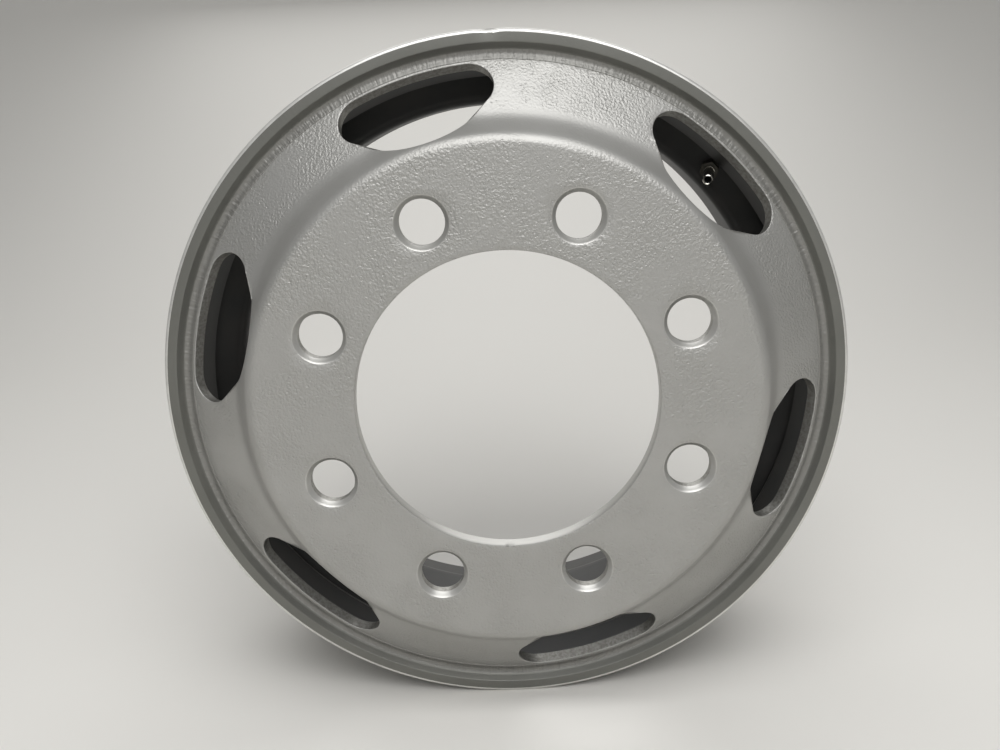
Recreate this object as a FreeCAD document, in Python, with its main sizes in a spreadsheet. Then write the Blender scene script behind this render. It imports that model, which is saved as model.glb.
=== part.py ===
import FreeCAD, Part
import math
import os

import Sketcher

# Truck disc wheel: a rolled drop-centre rim, a pressed disc with hand holes, the weld that joins
# them, and the tyre valve clamped in the rim's well.
# The axle is the Y axis. Y = 0 is the hub-side face of the nave, -Y is the convex side, +Z is up.

doc = FreeCAD.newDocument("truck_wheel")

# Driving dimensions, in millimetres and degrees

SIZES = {
    # Rim: 15 degree drop-centre section
    "bead_diameter": 495.3,
    "flange_height": 12.7,
    "rim_width": 171.45,
    "rim_inset": 130.0,
    "rim_wall": 6.0,
    "flange_wall": 8.5,
    "flange_reach": 13.0,
    "lip_wall": 9.3,
    "lip_draft": 1.5,
    "seat_angle": 15.0,
    "seat_width": 33.0,
    "well_depth": 31.0,
    "flank_angle": 20.0,
    "ledge_angle": 25.0,
    "lip_outer_radius": 2.6,
    "lip_inner_radius": 1.2,
    "flange_radius": 7.5,
    "heel_radius": 6.0,
    "lip_root_radius": 4.0,
    "flange_front_radius": 1.2,
    "toe_radius": 8.0,
    "toe_inner_radius": 2.0,
    "foot_radius": 5.0,
    "ledge_radius": 18.0,
    # Disc
    "hub_bore": 221.0,
    "bore_chamfer": 1.2,
    "nave_wall": 12.0,
    "nave_radius": 188.0,
    "step_depth": 21.0,
    "step_angle": 29.0,
    "step_wall": 10.0,
    "cone_angle": 56.3,
    "cone_wall": 8.5,
    "skirt_wall": 7.0,
    "skirt_length": 18.0,
    "skirt_gap": 0.15,
    "nave_edge_radius": 10.0,
    "step_root_radius": 24.0,
    "skirt_bend_radius": 3.0,
    "disc_inner_radius": 2.5,
    # Bolt holes with ball seats
    "bolt_count": 8,
    "bolt_circle": 285.0,
    "bolt_angle": 22.5,
    "bolt_hole": 32.5,
    "ball_seat_mouth": 38.6,
    "ball_seat_radius": 22.0,
    # Hand holes, punched square to the cone
    "hand_hole_count": 6,
    "hand_hole_angle": 45.0,
    "hand_hole_inner": 186.7,
    "hand_hole_length": 61.8,
    "hand_hole_half_width": 57.3,
    "hand_hole_end_radius": 49.5,
    "hand_hole_corner_radius": 18.3,
    "hand_hole_outer_radius": 300.0,
    "punch_travel": 48.0,
    # Weld between disc skirt and rim
    "weld_leg": 5.5,
    "weld_gap": 0.05,
    # Tyre valve
    "valve_angle": 46.2,
    "valve_radius": 227.0,
    "valve_hole": 9.7,
    "valve_drill_length": 18.0,
    "valve_body": 8.2,
    "valve_body_showing": 1.5,
    "valve_thread": 7.75,
    "valve_reach": 30.0,
    "valve_mouth": 5.2,
    "valve_mouth_depth": 9.0,
    "valve_duct": 3.2,
    "valve_tip_chamfer": 0.6,
    "valve_head": 13.0,
    "valve_head_height": 3.0,
    "grommet_flange": 2.2,
    "grommet_gap": 0.1,
    "valve_washer": 14.0,
    "valve_washer_height": 1.4,
    "valve_nut": 12.7,
    "valve_nut_height": 6.0,
    "nut_chamfer": 0.8,
    "thread_gap": 0.1,
}

sheet = doc.addObject("Spreadsheet::Sheet", "Sizes")
for row, (alias, value) in enumerate(SIZES.items(), start=1):
    sheet.set(f"A{row}", alias)
    sheet.set(f"B{row}", str(value))
    sheet.setAlias(f"B{row}", alias)
doc.recompute()


def cells(expression):
    """Put the sheet's name before every size in an expression."""
    words = []
    word = ""
    for letter in expression + " ":
        if letter.isalnum() or letter == "_":
            word += letter
            continue
        words.append(f"Sizes.{word}" if word in SIZES else word)
        words.append(letter)
        word = ""
    return "".join(words).strip()


def number(expression):
    """Value of an expression at the sheet's present sizes."""
    value = sheet.evalExpression(cells(expression))
    return float(getattr(value, "Value", value))


def bind(thing, path, expression):
    thing.setExpression(path, cells(expression))


# Sketch helpers

def new_body(label):
    body = doc.addObject("PartDesign::Body", label)
    body.Label = label
    return body


def new_sketch(body, name, role):
    """Sketch on one of the body's own origin planes."""
    plane = next(item for item in body.Origin.OriginFeatures if item.Role == role)
    sketch = body.newObject("Sketcher::SketchObject", name)
    sketch.AttachmentSupport = [(plane, "")]
    sketch.MapMode = "FlatFace"
    return sketch


def bind_constraint(sketch, constraint, expression):
    index = sketch.addConstraint(constraint)
    bind(sketch, f"Constraints[{index}]", expression)


def pin_point(sketch, curve, end, across, along):
    """Hold one end of a curve at two distances from the sketch's origin."""
    for kind, expression, axis in (("DistanceX", across, -2), ("DistanceY", along, -1)):
        if expression == "0":
            sketch.addConstraint(Sketcher.Constraint("PointOnObject", curve, end, axis))
            continue
        held = Sketcher.Constraint(kind, -1, 1, curve, end, number(expression))
        bind_constraint(sketch, held, expression)


def draw_outline(sketch, corners):
    """Closed outline of straight lines, each corner an (across, along) pair of expressions."""
    spots = [FreeCAD.Vector(number(across), number(along), 0) for across, along in corners]
    count = len(spots)
    for index in range(count):
        sketch.addGeometry(Part.LineSegment(spots[index], spots[(index + 1) % count]), False)
    for index in range(count):
        following = (index + 1) % count
        sketch.addConstraint(Sketcher.Constraint("Coincident", index, 2, following, 1))
    for index, (across, along) in enumerate(corners):
        pin_point(sketch, index, 1, across, along)


def revolve_outline(body, corners):
    """Solid of revolution about the body's Y axis."""
    sketch = new_sketch(body, f"{body.Name}_section", "XY_Plane")
    draw_outline(sketch, corners)
    turned = body.newObject("PartDesign::Revolution", f"{body.Name}_turned")
    turned.Profile = sketch
    turned.ReferenceAxis = (sketch, ["V_Axis"])
    turned.Angle = 360.0
    doc.recompute()
    return turned


def ring_edges(feature, corners):
    """Names of the round edges of a feature that pass through the given section corners."""
    wanted = [(number(across), number(along)) for across, along in corners]
    names = []
    for index, edge in enumerate(feature.Shape.Edges, start=1):
        if not isinstance(edge.Curve, Part.Circle):
            continue
        spot = (edge.Curve.Radius, edge.Curve.Center.y)
        if any(math.dist(spot, corner) < 1e-4 for corner in wanted):
            names.append(f"Edge{index}")
    return names


def round_rings(body, feature, radius, corners):
    """Fillet the round edges at the given section corners."""
    rounded = body.newObject("PartDesign::Fillet", f"{body.Name}_{radius}")
    rounded.Base = (feature, ring_edges(feature, corners))
    bind(rounded, "Radius", radius)
    doc.recompute()
    return rounded


def inset_corner(corner, slope_before, wall_before, slope_after, wall_after):
    """Corner of the inner skin, a wall away from the two outer lines that meet at a corner.

    A slope is the angle between the outer line and the axle, positive where the line closes in on it.
    """
    across, along = corner
    turn = f"sin(({slope_before}) - ({slope_after}))"
    drop = f"(({wall_before}) * sin({slope_after}) - ({wall_after}) * sin({slope_before})) / {turn}"
    shift = f"(({wall_after}) * cos({slope_before}) - ({wall_before}) * cos({slope_after})) / {turn}"
    return f"({across}) + ({drop})", f"({along}) + ({shift})"


# Rim section: front and rear flange planes, bead seats and drop well

BEAD = "bead_diameter / 2"
FLANGE_TOP = f"{BEAD} + flange_height"
LIP_INSIDE = f"{FLANGE_TOP} - lip_wall"
LIP_ROOT = f"{FLANGE_TOP} - lip_wall - lip_draft"
FRONT = "(rim_inset - rim_width / 2)"
REAR = "(rim_inset + rim_width / 2)"
SEAT_DROP = "seat_width * tan(seat_angle)"
WELL = f"{BEAD} - well_depth"
FLANK_SLOPE = "90 - flank_angle"
SEAT_INSIDE = f"({BEAD} - rim_wall / cos(seat_angle))"

front_toe = (f"{BEAD} - {SEAT_DROP}", f"{FRONT} + seat_width")
front_foot = (WELL, f"{FRONT} + seat_width + (well_depth - {SEAT_DROP}) * tan(flank_angle)")
rear_toe = (f"{BEAD} - {SEAT_DROP}", f"{REAR} - seat_width")
rear_foot = (WELL, f"{REAR} - seat_width - (well_depth - {SEAT_DROP}) / tan(ledge_angle)")
front_toe_inside = inset_corner(front_toe, "seat_angle", "rim_wall", FLANK_SLOPE, "rim_wall")
front_foot_inside = inset_corner(front_foot, FLANK_SLOPE, "rim_wall", "0", "rim_wall")
rear_foot_inside = inset_corner(rear_foot, "0", "rim_wall", "-ledge_angle", "rim_wall")
rear_toe_inside = inset_corner(rear_toe, "-ledge_angle", "rim_wall", "-seat_angle", "rim_wall")
flange_inside = f"{SEAT_INSIDE} + flange_wall * tan(seat_angle)"

front_lip = [(FLANGE_TOP, f"{FRONT} - flange_reach"), (LIP_INSIDE, f"{FRONT} - flange_reach")]
rear_lip = [(FLANGE_TOP, f"{REAR} + flange_reach"), (LIP_INSIDE, f"{REAR} + flange_reach")]
flange_tops = [(FLANGE_TOP, FRONT), (FLANGE_TOP, REAR)]
heels = [(BEAD, FRONT), (BEAD, REAR)]
lip_roots = [(LIP_ROOT, f"{FRONT} - flange_wall"), (LIP_ROOT, f"{REAR} + flange_wall")]
flange_fronts = [(flange_inside, f"{FRONT} - flange_wall"), (flange_inside, f"{REAR} + flange_wall")]

rim_section = [
    front_lip[0], flange_tops[0], heels[0], front_toe, front_foot,
    rear_foot, rear_toe, heels[1], flange_tops[1], rear_lip[0],
    rear_lip[1], lip_roots[1], flange_fronts[1], rear_toe_inside, rear_foot_inside,
    front_foot_inside, front_toe_inside, flange_fronts[0], lip_roots[0], front_lip[1],
]

# Valve place: its axis crosses the outside of the well's front flank at right angles

VALVE_DEPTH = f"({front_toe[1]} + ({front_toe[0]} - valve_radius) * tan(flank_angle))"
VALVE_BASE = {
    "Placement.Base.x": "valve_radius * sin(valve_angle)",
    "Placement.Base.y": VALVE_DEPTH,
    "Placement.Base.z": "valve_radius * cos(valve_angle)",
    "Placement.Rotation.Pitch": "valve_angle",
}


def place_on_valve_axis(thing, roll):
    """Bind a placement to the valve's seat, turned about the axle and tilted square to the flank."""
    for path, expression in VALVE_BASE.items():
        bind(thing, path, expression)
    bind(thing, "Placement.Rotation.Roll", roll)


def make_rim():
    body = new_body("rim")
    shape = revolve_outline(body, rim_section)
    for radius, corners in (
        ("lip_outer_radius", [front_lip[0], rear_lip[0]]),
        ("lip_inner_radius", [front_lip[1], rear_lip[1]]),
        ("flange_radius", flange_tops),
        ("heel_radius", heels),
        ("lip_root_radius", lip_roots),
        ("flange_front_radius", flange_fronts),
        ("toe_radius", [front_toe]),
        ("toe_inner_radius", [front_toe_inside]),
        ("foot_radius", [front_foot]),
        ("foot_radius + rim_wall", [front_foot_inside]),
        ("ledge_radius", [rear_foot, rear_toe, rear_toe_inside]),
        ("ledge_radius + rim_wall", [rear_foot_inside]),
    ):
        shape = round_rings(body, shape, radius, corners)
    drilled = body.newObject("PartDesign::SubtractiveCylinder", "valve_drilling")
    bind(drilled, "Radius", "valve_hole / 2")
    bind(drilled, "Height", "valve_drill_length")
    place_on_valve_axis(drilled, "flank_angle + 90")
    return body


# Disc section: flat nave, step, cone and the skirt that lies under the front bead seat

NAVE_FRONT = "-nave_wall"
STEP_SLOPE = "-step_angle"
CONE_SLOPE = "-cone_angle"
nave_edge = ("nave_radius", NAVE_FRONT)
step_root = ("nave_radius + step_depth * tan(step_angle)", "step_depth - nave_wall")
SKIRT_OUTSIDE = f"({SEAT_INSIDE} - skirt_gap / cos(seat_angle) + {FRONT} * tan(seat_angle))"
BEND_DEPTH = (f"(({SKIRT_OUTSIDE} - ({step_root[0]}) + ({step_root[1]}) * tan(cone_angle))"
              " / (tan(cone_angle) + tan(seat_angle)))")
skirt_bend = (f"{SKIRT_OUTSIDE} - {BEND_DEPTH} * tan(seat_angle)", BEND_DEPTH)
SKIRT_END = f"({FRONT} + skirt_length)"
skirt_end = (f"{SKIRT_OUTSIDE} - {SKIRT_END} * tan(seat_angle)", SKIRT_END)
skirt_end_inside = (f"{skirt_end[0]} - skirt_wall * cos(seat_angle)",
                    f"{SKIRT_END} - skirt_wall * sin(seat_angle)")
skirt_bend_inside = inset_corner(skirt_bend, CONE_SLOPE, "cone_wall", "seat_angle", "skirt_wall")
step_root_inside = inset_corner(step_root, STEP_SLOPE, "step_wall", CONE_SLOPE, "cone_wall")
nave_edge_inside = inset_corner(nave_edge, "-90", "nave_wall", STEP_SLOPE, "step_wall")
bore_front = ("hub_bore / 2", NAVE_FRONT)

disc_section = [
    bore_front, nave_edge, step_root, skirt_bend, skirt_end,
    skirt_end_inside, skirt_bend_inside, step_root_inside,
    (nave_edge_inside[0], "0"), ("hub_bore / 2", "0"),
]


def polar_pattern(body, name, originals, count):
    """Copies of features round the axle."""
    pattern = body.newObject("PartDesign::PolarPattern", name)
    pattern.Originals = originals
    axle = next(item for item in body.Origin.OriginFeatures if item.Role == "Y_Axis")
    pattern.Axis = (axle, [""])
    pattern.Angle = 360.0
    bind(pattern, "Occurrences", count)
    body.Tip = pattern
    doc.recompute()
    return pattern


def cut_bolt_holes(body):
    """Round bolt holes, each with a ball seat in the convex face."""
    across = "bolt_circle / 2 * sin(bolt_angle)"
    upward = "bolt_circle / 2 * cos(bolt_angle)"
    sketch = new_sketch(body, "bolt_hole_sketch", "XZ_Plane")
    middle = FreeCAD.Vector(number(across), number(upward), 0)
    sketch.addGeometry(Part.Circle(middle, FreeCAD.Vector(0, 0, 1), number("bolt_hole / 2")), False)
    pin_point(sketch, 0, 3, across, upward)
    bind_constraint(sketch, Sketcher.Constraint("Diameter", 0, number("bolt_hole")), "bolt_hole")
    hole = body.newObject("PartDesign::Pocket", "bolt_hole_cut")
    hole.Profile = sketch
    hole.Type = "ThroughAll"
    hole.Midplane = True
    doc.recompute()
    seat = body.newObject("PartDesign::SubtractiveSphere", "ball_seat_cut")
    bind(seat, "Radius", "ball_seat_radius")
    bind(seat, "Placement.Base.x", across)
    bind(seat, "Placement.Base.y", "-nave_wall - sqrt(ball_seat_radius ^ 2 - (ball_seat_mouth / 2) ^ 2)")
    bind(seat, "Placement.Base.z", upward)
    doc.recompute()
    return polar_pattern(body, "bolt_hole_ring", [hole, seat], "bolt_count")


def draw_hand_hole(sketch):
    """Hand hole outline: a rounded inner end, two leaning sides and a wide outer edge.

    The sketch's origin is on the cone at the hole's inner end, with its Y axis up the cone.
    """
    up = FreeCAD.Vector(0, 0, 1)
    end = number("hand_hole_end_radius")
    corner = number("hand_hole_corner_radius")
    outer = number("hand_hole_outer_radius")
    reach = number("hand_hole_half_width") - corner
    length = number("hand_hole_length")
    corner_height = length - outer + math.sqrt((outer - corner) ** 2 - reach ** 2)
    lean = math.atan2(corner_height - end, reach)
    lean += math.asin((end - corner) / math.hypot(reach, corner_height - end))
    spread = math.asin(reach / (outer - corner))
    low, high = FreeCAD.Vector(0, end, 0), FreeCAD.Vector(0, length - outer, 0)
    right, left = FreeCAD.Vector(reach, corner_height, 0), FreeCAD.Vector(-reach, corner_height, 0)

    def arc(centre, radius, first, last):
        sketch.addGeometry(Part.ArcOfCircle(Part.Circle(centre, up, radius), first, last), False)

    def side(mirror):
        foot = FreeCAD.Vector(mirror * end * math.sin(lean), end - end * math.cos(lean), 0)
        head_x = mirror * (reach + corner * math.sin(lean))
        head = FreeCAD.Vector(head_x, corner_height - corner * math.cos(lean), 0)
        sketch.addGeometry(Part.LineSegment(foot, head), False)

    down = -math.pi / 2
    arc(low, end, down - lean, down + lean)
    side(1)
    arc(right, corner, down + lean, -down - spread)
    arc(high, outer, -down - spread, -down + spread)
    arc(left, corner, -down + spread, 2 * math.pi + down - lean)
    side(-1)
    for first, first_end, second, second_end in (
        (0, 2, 1, 1), (1, 2, 2, 1), (2, 2, 3, 1), (3, 2, 4, 1), (4, 2, 5, 2), (5, 1, 0, 1),
    ):
        sketch.addConstraint(Sketcher.Constraint("Tangent", first, first_end, second, second_end))
    pin_point(sketch, 0, 3, "0", "hand_hole_end_radius")
    pin_point(sketch, 3, 3, "0", "hand_hole_length - hand_hole_outer_radius")
    for curve, size in ((0, "end"), (2, "corner"), (3, "outer"), (4, "corner")):
        radius = f"hand_hole_{size}_radius"
        bind_constraint(sketch, Sketcher.Constraint("Radius", curve, number(radius)), radius)
    reach_size = "hand_hole_half_width - hand_hole_corner_radius"
    bind_constraint(sketch, Sketcher.Constraint("DistanceX", -1, 1, 2, 3, reach), reach_size)
    bind_constraint(sketch, Sketcher.Constraint("DistanceX", 4, 3, -1, 1, reach), reach_size)


def cut_hand_holes(body):
    """Hand holes punched square to the cone, with the sketch laid on the cone's slope."""
    sketch = new_sketch(body, "hand_hole_sketch", "XZ_Plane")
    depth = f"({step_root[1]} + (hand_hole_inner - ({step_root[0]})) / tan(cone_angle))"
    bind(sketch, "AttachmentOffset.Base.x", "hand_hole_inner * sin(hand_hole_angle)")
    bind(sketch, "AttachmentOffset.Base.y", "hand_hole_inner * cos(hand_hole_angle)")
    bind(sketch, "AttachmentOffset.Base.z", f"-{depth}")
    bind(sketch, "AttachmentOffset.Rotation.Yaw", "-hand_hole_angle")
    bind(sketch, "AttachmentOffset.Rotation.Roll", "cone_angle - 90")
    draw_hand_hole(sketch)
    doc.recompute()
    hole = body.newObject("PartDesign::Pocket", "hand_hole_cut")
    hole.Profile = sketch
    hole.Midplane = True
    bind(hole, "Length", "punch_travel")
    doc.recompute()
    return polar_pattern(body, "hand_hole_ring", [hole], "hand_hole_count")


def make_disc():
    body = new_body("disc")
    shape = revolve_outline(body, disc_section)
    for radius, corners in (
        ("nave_edge_radius", [nave_edge]),
        ("step_root_radius", [step_root]),
        ("skirt_bend_radius", [skirt_bend]),
        ("disc_inner_radius", [skirt_bend_inside, (nave_edge_inside[0], "0")]),
        ("step_root_radius + cone_wall", [step_root_inside]),
    ):
        shape = round_rings(body, shape, radius, corners)
    broken = body.newObject("PartDesign::Chamfer", "bore_edge")
    broken.Base = (shape, ring_edges(shape, [bore_front]))
    bind(broken, "Size", "bore_chamfer")
    doc.recompute()
    cut_bolt_holes(body)
    cut_hand_holes(body)
    return body


# Weld: a fillet in the corner between the skirt's end and the inside of the rim

def make_weld():
    body = new_body("disc_weld")
    line = f"({SEAT_INSIDE} - weld_gap / cos(seat_angle))"
    corner_depth = f"({SKIRT_END} + weld_gap)"
    corner = (f"{line} - (skirt_length + weld_gap) * tan(seat_angle)", corner_depth)
    on_skirt = (f"{corner[0]} - weld_leg * cos(seat_angle)", f"{corner_depth} - weld_leg * sin(seat_angle)")
    on_rim = (f"{corner[0]} - weld_leg * sin(seat_angle)", f"{corner_depth} + weld_leg * cos(seat_angle)")
    revolve_outline(body, [corner, on_skirt, on_rim])
    return body


# Tyre valve: each piece is turned about its own Y axis, with Y = 0 on the outside of the rim's flank.
# The stem's head is in the tyre's space, at +Y, and its open tip points to the convex side, at -Y.

HUB_SIDE = "(0 - rim_wall)"
WASHER_BACK = f"{HUB_SIDE} - grommet_gap"
NUT_BACK = f"{WASHER_BACK} - valve_washer_height"
TIP = f"({HUB_SIDE} - valve_reach)"
NUT_FRONT = f"{NUT_BACK} - valve_nut_height"
THREAD_RADIUS = "valve_thread / 2"
BODY_RADIUS = "valve_body / 2"
SHOULDER = f"{NUT_FRONT} - valve_body_showing"
HEAD_FRONT = "grommet_gap + grommet_flange"
HEAD_BACK = f"{HEAD_FRONT} + valve_head_height"
MOUTH_END = f"{TIP} + valve_mouth_depth"


def make_stem():
    body = new_body("valve_stem")
    shape = revolve_outline(body, [
        (THREAD_RADIUS, TIP), (THREAD_RADIUS, SHOULDER), (BODY_RADIUS, SHOULDER), (BODY_RADIUS, HEAD_FRONT),
        ("valve_head / 2", HEAD_FRONT), ("valve_head / 2", HEAD_BACK), ("valve_duct / 2", HEAD_BACK),
        ("valve_duct / 2", MOUTH_END), ("valve_mouth / 2", MOUTH_END), ("valve_mouth / 2", TIP),
    ])
    tip = body.newObject("PartDesign::Chamfer", "valve_tip")
    tip.Base = (shape, ring_edges(shape, [(THREAD_RADIUS, TIP), ("valve_mouth / 2", TIP)]))
    bind(tip, "Size", "valve_tip_chamfer")
    return body


def make_grommet():
    body = new_body("valve_grommet")
    inner = f"{BODY_RADIUS} + grommet_gap"
    sleeve = "valve_hole / 2 - grommet_gap"
    revolve_outline(body, [
        (inner, HUB_SIDE), (sleeve, HUB_SIDE), (sleeve, "grommet_gap"),
        ("valve_head / 2", "grommet_gap"), ("valve_head / 2", HEAD_FRONT), (inner, HEAD_FRONT),
    ])
    return body


def make_washer():
    body = new_body("valve_washer")
    inner = f"{BODY_RADIUS} + thread_gap"
    outer = "valve_washer / 2"
    revolve_outline(body, [(inner, NUT_BACK), (outer, NUT_BACK), (outer, WASHER_BACK), (inner, WASHER_BACK)])
    return body


def make_nut():
    """Hexagon nut: a hexagonal prism bored for the stem, its outer corners turned to a chamfer."""
    body = new_body("valve_nut")
    sketch = new_sketch(body, "nut_sketch", "XZ_Plane")
    bind(sketch, "AttachmentOffset.Base.z", f"-({NUT_BACK})")
    corner = "valve_nut / 2 / cos(30)"
    corners = [(f"{corner} * cos({60 * turn})", f"{corner} * sin({60 * turn})") for turn in range(6)]
    corners = [(across, "0" if turn % 3 == 0 else upward) for turn, (across, upward) in enumerate(corners)]
    draw_outline(sketch, corners)
    sketch.addGeometry(Part.Circle(FreeCAD.Vector(), FreeCAD.Vector(0, 0, 1), number(BODY_RADIUS)), False)
    bore = sketch.GeometryCount - 1
    pin_point(sketch, bore, 3, "0", "0")
    bore_size = "valve_body + 2 * thread_gap"
    bind_constraint(sketch, Sketcher.Constraint("Diameter", bore, number(bore_size)), bore_size)
    block = body.newObject("PartDesign::Pad", "nut_block")
    block.Profile = sketch
    bind(block, "Length", "valve_nut_height")
    doc.recompute()
    ring = new_sketch(body, "nut_chamfer_sketch", "XY_Plane")
    outside = f"{corner} + nut_chamfer"
    below = f"{NUT_FRONT} - nut_chamfer / 2"
    draw_outline(ring, [
        (f"{corner} - 2 * nut_chamfer", below), (outside, below), (outside, f"{NUT_FRONT} + nut_chamfer"),
    ])
    turned = body.newObject("PartDesign::Groove", "nut_corners")
    turned.Profile = ring
    turned.ReferenceAxis = (ring, ["V_Axis"])
    turned.Angle = 360.0
    return body


nodes = [make_rim(), make_disc(), make_weld()]
for make in (make_stem, make_grommet, make_washer, make_nut):
    piece = make()
    place_on_valve_axis(piece, "flank_angle")
    nodes.append(piece)
doc.recompute()

# Check every object, then write one file for each piece

for item in doc.Objects:
    if "Invalid" in item.State or "Error" in item.State:
        raise RuntimeError(f"{item.Name} failed: {item.State}")
for node in nodes:
    if node.Shape.isNull() or not node.Shape.isValid() or len(node.Shape.Solids) != 1:
        raise RuntimeError(f"{node.Label} is not one sound solid")

os.makedirs("parts", exist_ok=True)
for node in nodes:
    node.Shape.exportStep(f"parts/{node.Label}.step")
    print(f"{node.Label}: {node.Shape.Volume / 1000:.2f} cm3, {len(node.Shape.Faces)} faces")
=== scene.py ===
"""Looks of a steel truck disc wheel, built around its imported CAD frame.

The axle is the Y axis, -Y is the convex side of the disc and +Z is up. Angles round the axle run clockwise
from the top, seen from the convex side. Sizes in the classes are
millimetres and degrees. Meshes are in metres.
"""

import logging
import math
from dataclasses import dataclass, field
from enum import IntEnum

import bmesh
import bpy
import numpy as np
from mathutils import Matrix, Vector


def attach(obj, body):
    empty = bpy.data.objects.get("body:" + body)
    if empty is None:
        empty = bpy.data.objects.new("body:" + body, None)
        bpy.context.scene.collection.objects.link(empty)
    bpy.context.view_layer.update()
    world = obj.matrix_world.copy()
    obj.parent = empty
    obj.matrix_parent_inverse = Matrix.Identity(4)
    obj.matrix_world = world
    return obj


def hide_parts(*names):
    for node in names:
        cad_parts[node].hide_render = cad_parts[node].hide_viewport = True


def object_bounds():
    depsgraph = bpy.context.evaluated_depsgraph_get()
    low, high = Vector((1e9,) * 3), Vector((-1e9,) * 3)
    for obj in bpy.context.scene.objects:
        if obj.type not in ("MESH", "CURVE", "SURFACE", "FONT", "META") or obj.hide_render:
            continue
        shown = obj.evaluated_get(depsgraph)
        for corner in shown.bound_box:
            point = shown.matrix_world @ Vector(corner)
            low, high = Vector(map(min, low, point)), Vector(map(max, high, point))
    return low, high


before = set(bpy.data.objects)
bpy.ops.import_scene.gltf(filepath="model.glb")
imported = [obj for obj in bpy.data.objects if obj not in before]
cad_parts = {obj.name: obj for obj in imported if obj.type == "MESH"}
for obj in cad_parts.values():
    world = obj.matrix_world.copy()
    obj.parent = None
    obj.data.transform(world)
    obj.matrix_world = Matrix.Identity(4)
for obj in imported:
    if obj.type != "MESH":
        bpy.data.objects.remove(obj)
CAD_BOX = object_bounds()

log = logging.getLogger("truck_wheel")

METRES_PER_MM = 0.001
ROOT = "root"
RING_STEPS = 360
ARC_STEP = 6.0
SMOOTH_ANGLE = 33.0
CONE_SIDE_STEPS = 20
CONE_FRONT_LOOPS = 12
CONE_BACK_LOOPS = 10
NAVE_SIDE_STEPS = 10
NAVE_FRONT_LOOPS = 5
NAVE_BACK_LOOPS = 4
MERGE_DISTANCE = 2e-6

Point = tuple[float, float]
Places = list[Vector]


def mm(value: float) -> float:
    """Millimetres as metres."""
    return value * METRES_PER_MM


def round_axle(radius: float, depth: float, angle: float) -> Vector:
    """Place on a ring about the axle.

    Args:
        radius: Distance from the axle, mm.
        depth: Y coordinate, mm.
        angle: Degrees clockwise from the top.

    Returns:
        The place in metres.
    """
    turn = math.radians(angle)
    return Vector((radius * math.sin(turn), depth, radius * math.cos(turn))) * METRES_PER_MM


def line_through(start: Point, slope: float, aside: float = 0.0) -> tuple[Point, Point]:
    """Line in a section, moved aside towards the axle by a wall thickness.

    Args:
        start: Radius and depth of a point on the line.
        slope: Degrees between the line and the axle, positive where the radius grows with depth.
        aside: Wall thickness.

    Returns:
        A point on the line and its direction.
    """
    along = (math.sin(math.radians(slope)), math.cos(math.radians(slope)))
    return (start[0] - aside * along[1], start[1] + aside * along[0]), along


def meeting(first: tuple[Point, Point], second: tuple[Point, Point]) -> Point:
    """Crossing of two section lines.

    Args:
        first: Point and direction of one line.
        second: Point and direction of the other.

    Returns:
        Radius and depth of the crossing.
    """
    (ar, ay), (adr, ady) = first
    (br, by), (bdr, bdy) = second
    share = ((br - ar) * bdy - (by - ay) * bdr) / (adr * bdy - ady * bdr)
    return ar + share * adr, ay + share * ady


def rounded(corners: list[tuple[Point, float]], closed: bool = False) -> list[Point]:
    """Section outline with its corners rounded.

    Args:
        corners: Each corner's radius and depth, with its fillet radius.
        closed: Whether the last corner joins the first.

    Returns:
        Points along the outline.
    """
    path: list[Point] = []
    count = len(corners)
    for index, (corner, fillet) in enumerate(corners):
        at_end = not closed and index in (0, count - 1)
        if at_end or fillet == 0:
            path.append(corner)
            continue
        here = Vector(corner)
        back = (Vector(corners[index - 1][0]) - here).normalized()
        onward = (Vector(corners[(index + 1) % count][0]) - here).normalized()
        opening = back.angle(onward)
        reach = fillet / math.tan(opening / 2)
        centre = here + (back + onward).normalized() * fillet / math.sin(opening / 2)
        first, last = here + back * reach - centre, here + onward * reach - centre
        steps = max(2, math.ceil(math.degrees(math.pi - opening) / ARC_STEP))
        turn = first.angle_signed(last)
        for step in range(steps + 1):
            spoke = Matrix.Rotation(-turn * step / steps, 2) @ first
            path.append(tuple(centre + spoke))
    return path


def new_piece(name: str, mesh: bmesh.types.BMesh, *replaced: str, slot: str) -> bpy.types.Object:
    """Object made from a bmesh, riding on the wheel in place of CAD nodes.

    Args:
        name: Object name.
        mesh: Finished bmesh, in metres, which is freed.
        replaced: CAD nodes that it stands for.
        slot: Name of a material slot; not used.

    Returns:
        The object, shaded smooth up to a set angle.
    """
    bmesh.ops.remove_doubles(mesh, verts=mesh.verts, dist=MERGE_DISTANCE)
    bmesh.ops.recalc_face_normals(mesh, faces=mesh.faces)
    data = bpy.data.meshes.new(name)
    mesh.to_mesh(data)
    mesh.free()
    data.shade_smooth()
    data.set_sharp_from_angle(angle=math.radians(SMOOTH_ANGLE))
    piece = bpy.data.objects.new(name, data)
    bpy.context.scene.collection.objects.link(piece)
    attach(piece, ROOT)
    if replaced:
        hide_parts(*replaced)
    log.info("%s: %d faces", name, len(data.polygons))
    return piece


def spin_section(mesh: bmesh.types.BMesh, path: list[Point], closed: bool, material: int = 0) -> None:
    """Turn a section about the axle, starting at the top.

    Args:
        mesh: Receives the surface.
        path: Radius and depth of each point, mm.
        closed: Whether the path is a closed outline.
        material: Material index of the new faces.
    """
    before = set(mesh.faces)
    verts = [mesh.verts.new(round_axle(radius, depth, 0)) for radius, depth in path]
    pairs = list(zip(verts, verts[1:])) + ([(verts[-1], verts[0])] if closed else [])
    edges = [mesh.edges.new(pair) for pair in pairs]
    bmesh.ops.spin(mesh, geom=verts + edges, cent=(0, 0, 0), axis=(0, 1, 0), angle=math.tau,
                   steps=RING_STEPS, use_merge=True)
    for face in mesh.faces:
        if face not in before:
            face.material_index = material


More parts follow.
